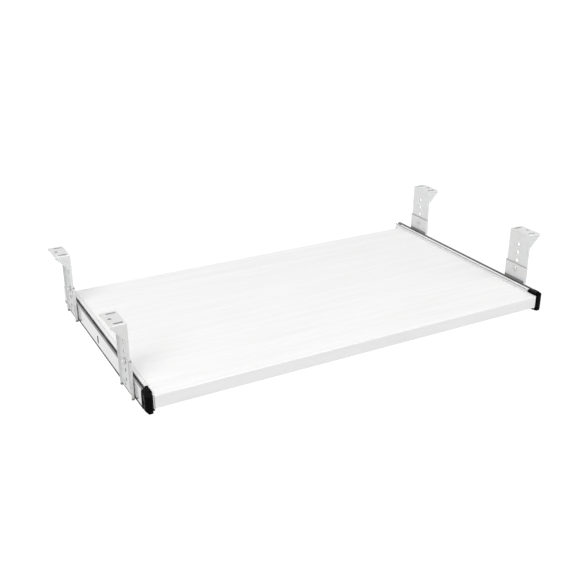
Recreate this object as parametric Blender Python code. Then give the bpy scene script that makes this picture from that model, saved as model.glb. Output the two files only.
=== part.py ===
"""Under-desk drawer: a flat melamine tray between two ball-bearing slides, which hang
from the desk on four brackets whose height can be set.

Metres, +X right, +Y towards the back of the desk, +Z up.  The origin is the middle of
the four bracket tops, in the plane of the desk's underside.  Each side of the drawer is
drawn once, in outward coordinates: x is the distance outwards from the tray's side edge.
"""

import math

import bmesh
import bpy
from mathutils import Matrix, Vector

MM = 0.001
GAP = 0.3 * MM  # clearance between pieces that touch

# The tray
TRAY_WIDTH = 600 * MM
TRAY_DEPTH = 350 * MM
TRAY_THICKNESS = 18 * MM
BAND_THICKNESS = 1.0 * MM
BAND_ROUNDING = 0.7 * MM

# Where things hang below the desk
DESK_TO_TRAY_TOP = 81 * MM
BRACKET_SPACING = 250 * MM
BRACKET_SETBACK = 62 * MM  # from the tray's front edge to the front brackets' middle

# The slides, across (x, outwards) and up (z, from the slide's middle)
SLIDE_LENGTH = 350 * MM
SLIDE_SETBACK = 14 * MM
SLIDE_HEIGHT = 27 * MM
SLIDE_OUTER_FACE = 11.7 * MM
RAIL_SHEET = 1.0 * MM
RAIL_LIP_OUT = 6.2 * MM  # to the middle of the lip's sheet
INNER_RAIL_LENGTH = 338 * MM
BALL_RADIUS = 1.6 * MM
BALL_OUT = 8.6 * MM
BALLS_PER_ROW = 7
BALL_PITCH = 12 * MM
CAGE_SHEET = 0.4 * MM

# The angle that carries the tray
ANGLE_SHEET = 1.2 * MM
ANGLE_TOP_ABOVE_TRAY = 4.0 * MM
ANGLE_FLANGE = 13.5 * MM
ANGLE_REAR = 364 * MM
ANGLE_STEP = 19.5 * MM  # where its raised edge starts, behind the cap's lug
SCREW_INSET = 7 * MM
SCREW_PLACES = (45 * MM, 190 * MM, 335 * MM)

# The front caps: x outwards, y back from the tray's front edge, z up from its top
CAP_OUTER_FACE = 12.2 * MM
CAP_NOSE = -1.0 * MM
CAP_REAR = SLIDE_SETBACK - GAP
CAP_TOP = 5.2 * MM
CAP_BOTTOM = -23.4 * MM
CAP_FOOT_TOP = -19.8 * MM
CAP_INNER_FACE = 2.0 * MM
CAP_TOP_SLANT = 3.0 * MM  # how much of the outer corner the slanted faces take off
CAP_BOTTOM_SLANT = 3.9 * MM

# The brackets
LOWER_SHEET = 1.0 * MM
LOWER_HALF_WIDTH = 22.2 * MM
LOWER_FLANGE_OUT = 16.2 * MM
LOWER_TOP = 38.7 * MM  # above the slide's middle
UPPER_SHEET = 1.0 * MM
UPPER_HALF_WIDTH = 20.8 * MM
UPPER_FLANGE_OUT = 16.8 * MM
UPPER_BOTTOM = -90.5 * MM  # below the desk
TOP_PLATE_OUT = 34.8 * MM
TOP_PLATE_SHEET = 1.5 * MM
GUSSET_BOTTOM = -22 * MM
GUSSET_TIP = -3 * MM
HOLE_PITCH = 13.2 * MM
HOLE_RADIUS = 2.75 * MM
BOLT_BELOW_DESK = 59.6 * MM
HOLES_BELOW_BOLT = 2
HOLES_ABOVE_BOLT = 3
DESK_SLOT_WIDTH = 4.0 * MM
DESK_SLOT_LENGTH = 12.4 * MM
DESK_SLOT_SPACING = 29.6 * MM
DESK_SLOT_OUT = 22.6 * MM
DESK_HOLE_OUT = 28.4 * MM
DESK_HOLE_RADIUS = 2.5 * MM

# Fasteners
RIVET_RADIUS = 2.0 * MM
RIVET_HEAD_RADIUS = 3.4 * MM
RIVET_SPREAD = 13 * MM
RIVET_BELOW_MIDDLE = 7.4 * MM
BOLT_RADIUS = 2.5 * MM
SCREW_RADIUS = 1.8 * MM

# Worked out from the above
HALF_WIDTH = TRAY_WIDTH / 2
TRAY_FRONT = -(BRACKET_SPACING / 2 + BRACKET_SETBACK)
TRAY_TOP = -DESK_TO_TRAY_TOP
TRAY_BOTTOM = TRAY_TOP - TRAY_THICKNESS
SLIDE_MIDDLE = TRAY_TOP - TRAY_THICKNESS / 2
SLIDE_FRONT = TRAY_FRONT + SLIDE_SETBACK
LOWER_FACE = SLIDE_OUTER_FACE + GAP
UPPER_FACE = LOWER_FACE + LOWER_SHEET + GAP
HOOK_TOP = -(SLIDE_HEIGHT / 2 + 2 * GAP)  # from the slide's middle
BALL_UP = SLIDE_HEIGHT / 2 - RAIL_SHEET - GAP - BALL_RADIUS
INNER_RAIL_TOP = BALL_UP - BALL_RADIUS - GAP

SIDES = (("left", -1), ("right", 1))
ROWS = (("front", -BRACKET_SPACING / 2), ("rear", BRACKET_SPACING / 2))


# ---------------------------------------------------------------- helpers


def clear_scene():
    for obj in list(bpy.data.objects):
        bpy.data.objects.remove(obj, do_unlink=True)


def make_material(name, colour, roughness, metallic):
    material = bpy.data.materials.new(name)
    material.use_nodes = True
    shader = material.node_tree.nodes["Principled BSDF"]
    shader.inputs["Base Color"].default_value = (*colour, 1.0)
    shader.inputs["Roughness"].default_value = roughness
    shader.inputs["Metallic"].default_value = metallic
    return material


def make_empty(name, place, parent=None):
    empty = bpy.data.objects.new(name, None)
    empty.location = place
    empty.parent = parent
    bpy.context.scene.collection.objects.link(empty)
    return empty


def make_object(name, shape, place, material, parent=None, smooth=False):
    """Turn a bmesh into a named object; place is in world coordinates."""
    bmesh.ops.recalc_face_normals(shape, faces=shape.faces)
    mesh = bpy.data.meshes.new(name)
    shape.to_mesh(mesh)
    shape.free()
    if smooth:
        mesh.shade_smooth()
        mesh.set_sharp_from_angle(angle=math.radians(35))
    mesh.materials.append(material)
    obj = bpy.data.objects.new(name, mesh)
    bpy.context.scene.collection.objects.link(obj)
    obj.parent = parent
    obj.location = Vector(place) - (parent.location if parent else Vector())
    return obj


def make_cutter(name, shape, place):
    obj = make_object(name, shape, place, None)
    obj.hide_render = True
    obj.display_type = "WIRE"
    return obj


def cut_away(shape, point, normal):
    """Remove what lies beyond a plane and close the cut with a face."""
    cut = bmesh.ops.bisect_plane(
        shape,
        geom=shape.verts[:] + shape.edges[:] + shape.faces[:],
        plane_co=point,
        plane_no=Vector(normal).normalized(),
        clear_outer=True,
    )
    rim = [item for item in cut["geom_cut"] if isinstance(item, bmesh.types.BMEdge)]
    bmesh.ops.contextual_create(shape, geom=rim)


def combine(obj, operation, other):
    modifier = obj.modifiers.new(operation.lower(), "BOOLEAN")
    modifier.operation = operation
    modifier.solver = "EXACT"
    modifier.object = other


def face_side(shape, side):
    """Shapes are drawn for the right-hand side; the left is their mirror image."""
    if side < 0:
        bmesh.ops.scale(shape, vec=(-1, 1, 1), verts=shape.verts)
    return shape


def side_place(side, out, along, up):
    return (side * (HALF_WIDTH + out), along, up)


def arc(centre, radius, start, end, steps):
    """Points on an arc, angles in degrees."""
    points = []
    for step in range(steps + 1):
        angle = math.radians(start + (end - start) * step / steps)
        points.append((centre[0] + radius * math.cos(angle), centre[1] + radius * math.sin(angle)))
    return points


def ribbon(centreline, sheet):
    """The closed outline of a bent strip of sheet, from the line along its middle."""
    points = [Vector(point) for point in centreline]
    left = []
    right = []
    for index, point in enumerate(points):
        before = (point - points[index - 1]).normalized() if index else None
        after = (points[index + 1] - point).normalized() if index + 1 < len(points) else None
        before = before or after
        after = after or before
        normal = Vector((-(before + after).y, (before + after).x)).normalized()
        reach = sheet / 2 / normal.dot(Vector((-after.y, after.x)))
        left.append(point + normal * reach)
        right.append(point - normal * reach)
    return left + right[::-1]


def add_prism(shape, outline, low, high, axis):
    """A closed outline drawn across axis and extruded from low to high along it."""
    place = {
        "X": lambda a, b, depth: (depth, a, b),
        "Y": lambda a, b, depth: (a, depth, b),
        "Z": lambda a, b, depth: (a, b, depth),
    }[axis]
    near = [shape.verts.new(place(a, b, low)) for a, b in outline]
    far = [shape.verts.new(place(a, b, high)) for a, b in outline]
    shape.faces.new(near)
    shape.faces.new(far)
    for index in range(len(outline)):
        behind = index - 1
        shape.faces.new((near[behind], near[index], far[index], far[behind]))
    return shape


def add_box(shape, low, high):
    outline = [(low[0], low[1]), (high[0], low[1]), (high[0], high[1]), (low[0], high[1])]
    return add_prism(shape, outline, low[2], high[2], "Z")


def add_rod(shape, centre, radius, half_length, axis, segments=16):
    turn = {
        "X": Matrix.Rotation(math.pi / 2, 4, "Y"),
        "Z": Matrix.Identity(4),
    }[axis]
    bmesh.ops.create_cone(
        shape,
        cap_ends=True,
        segments=segments,
        radius1=radius,
        radius2=radius,
        depth=2 * half_length,
        matrix=Matrix.Translation(centre) @ turn,
    )
    return shape


def add_stadium(shape, centre, half_long, half_wide, half_deep, long_axis, through_axis):
    """A round-ended slot: long_axis lies in the plane across through_axis."""
    straight = half_long - half_wide
    outline = arc((straight, 0), half_wide, -90, 90, 6) + arc((-straight, 0), half_wide, 90, 270, 6)
    across = {"X": ("Y", "Z"), "Z": ("X", "Y")}[through_axis]
    middle = {"X": (centre[1], centre[2]), "Z": (centre[0], centre[1])}[through_axis]
    depth = {"X": centre[0], "Z": centre[2]}[through_axis]
    if long_axis == across[1]:
        outline = [(b, a) for a, b in outline]
    outline = [(middle[0] + a, middle[1] + b) for a, b in outline]
    return add_prism(shape, outline, depth - half_deep, depth + half_deep, through_axis)


def turned(profile, segments, axis="Z"):
    """A turned solid from (radius, height) points that begin and end on the axis."""
    shape = bmesh.new()
    rings = []
    for radius, height in profile:
        if radius == 0:
            rings.append([shape.verts.new((0, 0, height))])
            continue
        ring = []
        for step in range(segments):
            angle = 2 * math.pi * step / segments
            ring.append(shape.verts.new((radius * math.cos(angle), radius * math.sin(angle), height)))
        rings.append(ring)
    for lower, upper in zip(rings, rings[1:]):
        for step in range(segments):
            corners = [
                lower[step % len(lower)],
                lower[(step + 1) % len(lower)],
                upper[(step + 1) % len(upper)],
                upper[step % len(upper)],
            ]
            shape.faces.new(dict.fromkeys(corners))
    if axis == "X":
        bmesh.ops.rotate(shape, verts=shape.verts, matrix=Matrix.Rotation(math.pi / 2, 3, "Y"))
    return shape


def round_edges(shape, wanted, radius, segments=3):
    edges = [edge for edge in shape.edges if wanted((edge.verts[0].co + edge.verts[1].co) / 2)]
    bmesh.ops.bevel(shape, geom=edges, offset=radius, segments=segments, affect="EDGES", profile=0.5)


# ---------------------------------------------------------------- materials


def make_materials():
    return {
        "melamine": make_material("white_melamine", (0.90, 0.90, 0.89), 0.38, 0.0),
        "band": make_material("white_edge_band", (0.93, 0.93, 0.92), 0.30, 0.0),
        "zinc": make_material("zinc_plated_steel", (0.74, 0.75, 0.76), 0.28, 1.0),
        "bracket": make_material("pale_grey_bracket_steel", (0.72, 0.71, 0.70), 0.36, 0.6),
        "plastic": make_material("black_plastic", (0.012, 0.012, 0.013), 0.22, 0.0),
        "steel": make_material("fastener_steel", (0.60, 0.60, 0.61), 0.32, 1.0),
        "balls": make_material("ball_steel", (0.66, 0.67, 0.68), 0.20, 1.0),
    }


# ---------------------------------------------------------------- the tray


def screw_hole_cutter():
    shape = bmesh.new()
    half_depth = 13 * MM
    for side in (-1, 1):
        for along in SCREW_PLACES:
            centre = (side * (HALF_WIDTH - SCREW_INSET), TRAY_FRONT + along, TRAY_BOTTOM)
            add_rod(shape, centre, SCREW_RADIUS + GAP, half_depth, "Z", 12)
    return make_cutter("tray_screw_holes", shape, (0, 0, 0))


def build_tray(carriage, materials, screw_holes):
    inset = BAND_THICKNESS + GAP
    half_depth = TRAY_DEPTH / 2
    half_thick = TRAY_THICKNESS / 2
    middle = (0, TRAY_FRONT + half_depth, TRAY_TOP - half_thick)

    shape = bmesh.new()
    corner = Vector((HALF_WIDTH - inset, half_depth - inset, half_thick))
    add_box(shape, -corner, corner)
    board = make_object("tray_board", shape, middle, materials["melamine"], carriage)
    combine(board, "DIFFERENCE", screw_holes)

    for name, direction in (("front", -1), ("rear", 1)):
        shape = bmesh.new()
        add_box(shape, (-HALF_WIDTH, 0, -half_thick), (HALF_WIDTH, BAND_THICKNESS, half_thick))
        round_edges(shape, lambda co: co.y < GAP and abs(co.x) < HALF_WIDTH - GAP, BAND_ROUNDING)
        if direction > 0:
            bmesh.ops.scale(shape, vec=(1, -1, 1), verts=shape.verts)
        place = Vector(middle) + Vector((0, direction * half_depth, 0))
        make_object(f"tray_{name}_edge_band", shape, place, materials["band"], carriage, smooth=True)

    for name, side in SIDES:
        shape = bmesh.new()
        reach = half_depth - inset
        add_box(shape, (-BAND_THICKNESS, -reach, -half_thick), (0, reach, half_thick))
        round_edges(shape, lambda co: co.x > -GAP and abs(co.y) < reach - GAP, BAND_ROUNDING)
        place = Vector(middle) + Vector((side * HALF_WIDTH, 0, 0))
        band = face_side(shape, side)
        make_object(f"tray_{name}_edge_band", band, place, materials["band"], carriage, smooth=True)


def build_tray_angle(name, side, carriage, materials, screw_holes):
    """The strip that stands beside the tray and turns under it to carry it."""
    middle = GAP + ANGLE_SHEET / 2
    bend = 1.2 * MM
    top = TRAY_THICKNESS + ANGLE_TOP_ABOVE_TRAY
    bottom = -GAP - ANGLE_SHEET / 2
    centreline = [(middle, top)]
    centreline += arc((middle - bend, bottom + bend), bend, 0, -90, 4)
    centreline.append((-ANGLE_FLANGE, bottom))
    shape = bmesh.new()
    front = 1.5 * MM
    add_prism(shape, ribbon(centreline, ANGLE_SHEET), front, ANGLE_REAR, "Y")
    place = side_place(side, 0, TRAY_FRONT, TRAY_BOTTOM)
    band = face_side(shape, side)
    angle = make_object(f"{name}_tray_angle", band, place, materials["zinc"], carriage)
    ledge = face_side(angle_ledge_shape(middle, top), side)
    combine(angle, "UNION", make_cutter(f"{name}_tray_angle_ledge", ledge, place))
    notches = face_side(angle_notches_shape(), side)
    combine(angle, "DIFFERENCE", make_cutter(f"{name}_tray_angle_notches", notches, place))
    combine(angle, "DIFFERENCE", screw_holes)

    hole_radius = 2.1 * MM
    hole_along = TRAY_FRONT + ANGLE_REAR - 2.5 * MM - hole_radius
    hole_up = TRAY_TOP - 4.5 * MM
    hole = add_rod(bmesh.new(), (0, 0, 0), hole_radius, 2 * ANGLE_SHEET, "X", 12)
    hole_place = side_place(side, 0, hole_along, hole_up)
    combine(angle, "DIFFERENCE", make_cutter(f"{name}_tray_angle_hole", hole, hole_place))


def angle_notches_shape():
    """What is cut from the angle's front end, to clear the cap above and the tray's front below."""
    beyond = 2 * MM
    shape = bmesh.new()
    above = (-beyond, -beyond, TRAY_THICKNESS)
    add_box(shape, above, (GAP + ANGLE_SHEET + beyond, ANGLE_STEP, TRAY_THICKNESS + 5 * MM))
    below = (-ANGLE_FLANGE - beyond, -beyond, -GAP - ANGLE_SHEET - beyond)
    add_box(shape, below, (-1.6 * MM, 10 * MM, -GAP / 2))
    return shape


def angle_ledge_shape(middle, top):
    """The narrow ledge along the angle's top, which covers the gap beside the rail's lip."""
    clearance = 0.5 * MM
    starts = ANGLE_STEP
    ends = ANGLE_REAR - 12 * MM
    low = (middle, starts, top - ANGLE_SHEET)
    high = (RAIL_LIP_OUT - RAIL_SHEET / 2 - clearance, ends, top)
    return add_box(bmesh.new(), low, high)


def build_tray_screws(name, side, carriage, materials):
    head_radius = 3.9 * MM
    head_height = 2.1 * MM
    length = 13 * MM
    point = 2.5 * MM
    profile = [
        (0, -head_height),
        (0.55 * head_radius, -head_height),
        (0.88 * head_radius, -0.72 * head_height),
        (head_radius, -0.3 * head_height),
        (head_radius, 0),
        (SCREW_RADIUS, 0),
        (SCREW_RADIUS, length - point),
        (0, length),
    ]
    under_flange = TRAY_BOTTOM - GAP - ANGLE_SHEET - GAP
    for number, along in enumerate(SCREW_PLACES, start=1):
        place = side_place(side, -SCREW_INSET, TRAY_FRONT + along, under_flange)
        shape = turned(profile, 16)
        make_object(f"{name}_tray_screw_{number}", shape, place, materials["steel"], carriage, smooth=True)


# ---------------------------------------------------------------- the slides


def bracket_holes_cutter(name, side):
    """The column of bolt holes in the web, and the slots and hole for the wood screws."""
    shape = bmesh.new()
    through = 8 * MM
    for _, along in ROWS:
        for step in range(-HOLES_BELOW_BOLT, HOLES_ABOVE_BOLT + 1):
            up = -BOLT_BELOW_DESK + step * HOLE_PITCH
            add_rod(shape, (UPPER_FACE, along, up), HOLE_RADIUS, through, "X")
        for direction in (-1, 1):
            slot = (DESK_SLOT_OUT, along + direction * DESK_SLOT_SPACING / 2, 0)
            add_stadium(shape, slot, DESK_SLOT_LENGTH / 2, DESK_SLOT_WIDTH / 2, through, "X", "Z")
        add_rod(shape, (DESK_HOLE_OUT, along, 0), DESK_HOLE_RADIUS, through, "Z")
    return make_cutter(f"{name}_upper_bracket_holes", face_side(shape, side), side_place(side, 0, 0, 0))


def lower_holes_cutter(name, side):
    """The bolt hole and the rivet holes, through the lower brackets and the rail's web."""
    shape = bmesh.new()
    through = 3 * MM
    for _, along in ROWS:
        add_rod(shape, (LOWER_FACE, along, -BOLT_BELOW_DESK), BOLT_RADIUS + GAP, through, "X")
        for direction in (-1, 1):
            place = (LOWER_FACE, along + direction * RIVET_SPREAD, SLIDE_MIDDLE - RIVET_BELOW_MIDDLE)
            add_rod(shape, place, RIVET_RADIUS + GAP, through, "X", 12)
    return make_cutter(f"{name}_lower_bracket_holes", face_side(shape, side), side_place(side, 0, 0, 0))


def rail_windows_cutter(name, side):
    """The stamped slot, small holes and stop window in the outer rail's web."""
    shape = bmesh.new()
    through = 3 * MM
    slot = (SLIDE_OUTER_FACE, 177 * MM, 0.7 * MM)
    slot_half_length = 5.9 * MM
    slot_half_width = 2.6 * MM
    add_stadium(shape, slot, slot_half_length, slot_half_width, through, "Z", "X")
    low_holes = -10.4 * MM
    pilot_radius = 1.1 * MM
    for along in (128 * MM, 149.5 * MM, 173 * MM):
        add_rod(shape, (SLIDE_OUTER_FACE, along, low_holes), pilot_radius, through, "X", 8)
    stop_window = (SLIDE_OUTER_FACE, 92 * MM, low_holes)
    window_half_length = 14 * MM
    window_half_height = 0.9 * MM
    add_stadium(shape, stop_window, window_half_length, window_half_height, through, "Y", "X")
    place = side_place(side, 0, SLIDE_FRONT, SLIDE_MIDDLE)
    return make_cutter(f"{name}_rail_windows", face_side(shape, side), place)


def build_outer_rail(name, side, materials, lower_holes):
    web = SLIDE_OUTER_FACE - RAIL_SHEET / 2
    top = SLIDE_HEIGHT / 2 - RAIL_SHEET / 2
    corner = 1.5 * MM
    lip_bend = 1.0 * MM
    lip_end = 10.9 * MM
    upper = [(RAIL_LIP_OUT, lip_end)]
    upper += arc((RAIL_LIP_OUT + lip_bend, top - lip_bend), lip_bend, 180, 90, 3)
    upper += arc((web - corner, top - corner), corner, 90, 0, 3)
    lower = [(out, -up) for out, up in reversed(upper)]
    shape = bmesh.new()
    add_prism(shape, ribbon(upper + lower, RAIL_SHEET), 0, SLIDE_LENGTH, "Y")
    place = side_place(side, 0, SLIDE_FRONT, SLIDE_MIDDLE)
    rail = face_side(shape, side)
    rail = make_object(f"{name}_outer_rail", rail, place, materials["zinc"], smooth=True)
    combine(rail, "DIFFERENCE", rail_windows_cutter(name, side))
    combine(rail, "DIFFERENCE", lower_holes)


def build_inner_rail(name, side, carriage, materials):
    web = GAP + ANGLE_SHEET + GAP + RAIL_SHEET / 2
    top = INNER_RAIL_TOP - RAIL_SHEET / 2
    corner = 1.0 * MM
    lip_end = 9.5 * MM
    upper = [(lip_end, top)]
    upper += arc((web + corner, top - corner), corner, 90, 180, 3)
    lower = [(out, -up) for out, up in reversed(upper)]
    shape = bmesh.new()
    add_prism(shape, ribbon(upper + lower, RAIL_SHEET), 0, INNER_RAIL_LENGTH, "Y")
    place = side_place(side, 0, SLIDE_FRONT, SLIDE_MIDDLE)
    rail = face_side(shape, side)
    make_object(f"{name}_inner_rail", rail, place, materials["zinc"], carriage, smooth=True)


def build_ball_cage(name, side, materials):
    """Two rows of balls held by a bent strip; the balls and the strip are one piece here."""
    web = SLIDE_OUTER_FACE - RAIL_SHEET - GAP - CAGE_SHEET / 2
    corner = 0.7 * MM
    flange_end = 7.3 * MM
    length = BALLS_PER_ROW * BALL_PITCH
    middle = SLIDE_FRONT + INNER_RAIL_LENGTH / 2
    upper = [(flange_end, BALL_UP)]
    upper += arc((web - corner, BALL_UP - corner), corner, 90, 0, 3)
    lower = [(out, -up) for out, up in reversed(upper)]
    place = side_place(side, 0, middle, SLIDE_MIDDLE)
    track = make_empty(f"{name}_ball_cage_track", place)

    shape = bmesh.new()
    add_prism(shape, ribbon(upper + lower, CAGE_SHEET), -length / 2, length / 2, "Y")
    cage = make_object(f"{name}_ball_cage", face_side(shape, side), place, materials["balls"], track)

    balls = bmesh.new()
    for row in (-1, 1):
        for number in range(BALLS_PER_ROW):
            along = (number - (BALLS_PER_ROW - 1) / 2) * BALL_PITCH
            centre = Matrix.Translation((BALL_OUT, along, row * BALL_UP))
            bmesh.ops.create_icosphere(balls, subdivisions=2, radius=BALL_RADIUS, matrix=centre)
    combine(cage, "UNION", make_cutter(f"{name}_balls", face_side(balls, side), place))


def build_rear_buffer(name, side, materials):
    """The block inside the outer rail that the inner rail stops against."""
    front = INNER_RAIL_LENGTH + 2 * GAP
    rear = front + 7.4 * MM
    inner = 3.2 * MM
    outer = SLIDE_OUTER_FACE - RAIL_SHEET - GAP
    half_height = 7 * MM
    rounding = 0.6 * MM
    shape = bmesh.new()
    add_box(shape, (inner, front, -half_height), (outer, rear, half_height))
    round_edges(shape, lambda co: True, rounding, segments=2)
    place = side_place(side, 0, SLIDE_FRONT, SLIDE_MIDDLE)
    make_object(f"{name}_rear_buffer", face_side(shape, side), place, materials["plastic"], smooth=True)


def front_cap_body():
    """The cap's outer form: rounded in plan, with its nose cut back at the top."""
    plan = [(CAP_OUTER_FACE, CAP_REAR)]
    turn = 4.2 * MM
    plan += arc((CAP_OUTER_FACE - turn, CAP_NOSE + turn), turn, 0, -90, 5)
    shoulder = 2.5 * MM
    turn = 1.8 * MM
    plan += arc((shoulder + turn, CAP_NOSE + turn), turn, -90, -180, 3)
    plan += [(CAP_INNER_FACE, CAP_NOSE + 2 * turn), (CAP_INNER_FACE, CAP_REAR)]
    shape = bmesh.new()
    add_prism(shape, plan, CAP_BOTTOM, CAP_TOP, "Z")
    nose_starts = 5 * MM
    cut_away(shape, (0, nose_starts, CAP_TOP), (0, -0.64, 0.77))
    cut_away(shape, (CAP_OUTER_FACE, 0, CAP_TOP - CAP_TOP_SLANT), (1, 0, 1))
    cut_away(shape, (CAP_OUTER_FACE, 0, CAP_BOTTOM + CAP_BOTTOM_SLANT), (1, 0, -1))
    return shape


def cap_lug():
    """The tongue that runs back between the angle and the rail's lip."""
    clearance = 0.5 * MM
    low = (CAP_INNER_FACE, 3.5 * MM, GAP)
    high = (RAIL_LIP_OUT - RAIL_SHEET / 2 - clearance, 19 * MM, CAP_TOP - 0.2 * MM)
    return add_box(bmesh.new(), low, high)


def cap_foot():
    """The catch that turns in under the angle."""
    low = (-0.6 * MM, 3 * MM, CAP_FOOT_TOP - 2.6 * MM)
    high = (CAP_INNER_FACE + 1.2 * MM, 8 * MM, CAP_FOOT_TOP)
    return add_box(bmesh.new(), low, high)


def cap_slot():
    """Room for the angle's web, which the cap is pushed onto."""
    low = (0, 1.1 * MM, CAP_FOOT_TOP + GAP)
    high = (2 * GAP + ANGLE_SHEET, 20 * MM, ANGLE_TOP_ABOVE_TRAY + GAP)
    return add_box(bmesh.new(), low, high)


def cap_panel_cutters():
    """The sunk oval in the cap's outer face, and the hole in its middle."""
    centre = (CAP_OUTER_FACE, 8.6 * MM, -8.5 * MM)
    half_length = 10.5 * MM
    half_width = 3.9 * MM
    recess_depth = 0.7 * MM
    recess = add_stadium(bmesh.new(), centre, half_length, half_width, recess_depth, "Z", "X")
    hole_radius = 2.4 * MM
    hole_depth = 3 * MM
    hole = add_rod(bmesh.new(), centre, hole_radius, hole_depth, "X", 16)
    return recess, hole


def build_front_cap(name, side, carriage, materials):
    """Moulded cap over the front end of the moving rail; it clips on the angle."""
    place = side_place(side, 0, TRAY_FRONT, TRAY_TOP)
    body = face_side(front_cap_body(), side)
    cap = make_object(f"{name}_front_cap", body, place, materials["plastic"], carriage)
    bevel = cap.modifiers.new("moulded_edges", "BEVEL")
    bevel.width = 0.7 * MM
    bevel.segments = 2
    bevel.limit_method = "ANGLE"
    bevel.angle_limit = math.radians(40)
    recess, hole = cap_panel_cutters()
    steps = (
        ("UNION", "lug", cap_lug()),
        ("UNION", "foot", cap_foot()),
        ("DIFFERENCE", "slot", cap_slot()),
        ("DIFFERENCE", "recess", recess),
        ("DIFFERENCE", "hole", hole),
    )
    for operation, label, shape in steps:
        cutter = make_cutter(f"{name}_cap_{label}", face_side(shape, side), place)
        combine(cap, operation, cutter)


# ---------------------------------------------------------------- the brackets


def upper_bracket_shape():
    """A pressed channel, open outwards, whose flanges widen into gussets under the top."""
    profile = [
        (UPPER_FACE, UPPER_BOTTOM),
        (UPPER_FLANGE_OUT, UPPER_BOTTOM),
        (UPPER_FLANGE_OUT, GUSSET_BOTTOM),
        (TOP_PLATE_OUT, GUSSET_TIP),
        (TOP_PLATE_OUT, 0),
        (UPPER_FACE, 0),
    ]
    shape = bmesh.new()
    add_prism(shape, profile, -UPPER_HALF_WIDTH, UPPER_HALF_WIDTH, "Y")
    bend = 1.0 * MM
    round_edges(shape, lambda co: co.x < UPPER_FACE + GAP and UPPER_BOTTOM + GAP < co.z, bend)
    return shape


def upper_hollow_shape():
    """What is cleared out behind the webs and under the tops of one side's two brackets."""
    shape = bmesh.new()
    reach = UPPER_HALF_WIDTH - UPPER_SHEET
    beyond = 5 * MM
    for _, along in ROWS:
        low = (UPPER_FACE + UPPER_SHEET, along - reach, UPPER_BOTTOM - beyond)
        high = (TOP_PLATE_OUT + beyond, along + reach, -TOP_PLATE_SHEET)
        add_box(shape, low, high)
    return shape


def lower_bracket_shape():
    """A shorter channel that holds the rail below and the upper bracket above."""
    bend = 1.2 * MM
    web = LOWER_FACE + LOWER_SHEET / 2
    reach = LOWER_HALF_WIDTH - LOWER_SHEET / 2
    half = [(LOWER_FLANGE_OUT, reach)]
    half += arc((web + bend, reach - bend), bend, 90, 180, 3)
    other_half = [(out, -along) for out, along in reversed(half)]
    shape = bmesh.new()
    add_prism(shape, ribbon(half + other_half, LOWER_SHEET), HOOK_TOP - LOWER_SHEET, LOWER_TOP, "Z")
    return shape


def hook_shape():
    """The lip at the foot of a lower bracket that turns in under the rail."""
    hook_in = 9 * MM
    shoulder = 4 * MM
    reach = LOWER_HALF_WIDTH - shoulder
    low = (hook_in, -reach, HOOK_TOP - LOWER_SHEET)
    high = (LOWER_FACE + LOWER_SHEET / 2, reach, HOOK_TOP)
    return add_box(bmesh.new(), low, high)


def build_brackets(name, side, materials, lower_holes):
    side_origin = side_place(side, 0, 0, 0)
    upper_hollow = face_side(upper_hollow_shape(), side)
    upper_hollow = make_cutter(f"{name}_upper_bracket_hollow", upper_hollow, side_origin)
    upper_holes = bracket_holes_cutter(name, side)

    for row_name, along in ROWS:
        shape = face_side(upper_bracket_shape(), side)
        place = side_place(side, 0, along, 0)
        upper = make_object(f"{row_name}_{name}_upper_bracket", shape, place, materials["bracket"])
        combine(upper, "DIFFERENCE", upper_hollow)
        combine(upper, "DIFFERENCE", upper_holes)

        shape = face_side(lower_bracket_shape(), side)
        place = side_place(side, 0, along, SLIDE_MIDDLE)
        lower = make_object(f"{row_name}_{name}_lower_bracket", shape, place, materials["bracket"])
        hook = face_side(hook_shape(), side)
        combine(lower, "UNION", make_cutter(f"{row_name}_{name}_hook", hook, place))
        combine(lower, "DIFFERENCE", lower_holes)

        build_clamp(f"{row_name}_{name}", side, along, materials)
        build_rivets(f"{row_name}_{name}", side, along, materials)


def build_clamp(name, side, along, materials):
    """The bolt and nut that hold the bracket's two halves at the chosen height."""
    head_radius = 4.2 * MM
    head_height = 2.0 * MM
    nut_height = 2.7 * MM
    nut_radius = 4.5 * MM
    nut_start = UPPER_FACE + UPPER_SHEET + GAP
    past_nut = 1.2 * MM
    point = 0.5 * MM
    head_start = LOWER_FACE - GAP
    length = nut_start + nut_height + past_nut - head_start
    profile = [
        (0, -head_height),
        (0.5 * head_radius, -head_height),
        (0.85 * head_radius, -0.75 * head_height),
        (head_radius, -0.3 * head_height),
        (head_radius, 0),
        (BOLT_RADIUS, 0),
        (BOLT_RADIUS, length - point),
        (BOLT_RADIUS - point, length),
        (0, length),
    ]
    shape = face_side(turned(profile, 16, "X"), side)
    place = side_place(side, head_start, along, -BOLT_BELOW_DESK)
    make_object(f"{name}_clamp_bolt", shape, place, materials["steel"], smooth=True)

    hexagon = arc((0, 0), nut_radius, 0, 300, 5)
    shape = bmesh.new()
    add_prism(shape, hexagon, 0, nut_height, "X")
    place = side_place(side, nut_start, along, -BOLT_BELOW_DESK)
    nut = make_object(f"{name}_clamp_nut", face_side(shape, side), place, materials["steel"])
    bore = add_rod(bmesh.new(), (0, 0, 0), BOLT_RADIUS + GAP, 2 * nut_height, "X")
    combine(nut, "DIFFERENCE", make_cutter(f"{name}_nut_bore", bore, place))


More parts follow.
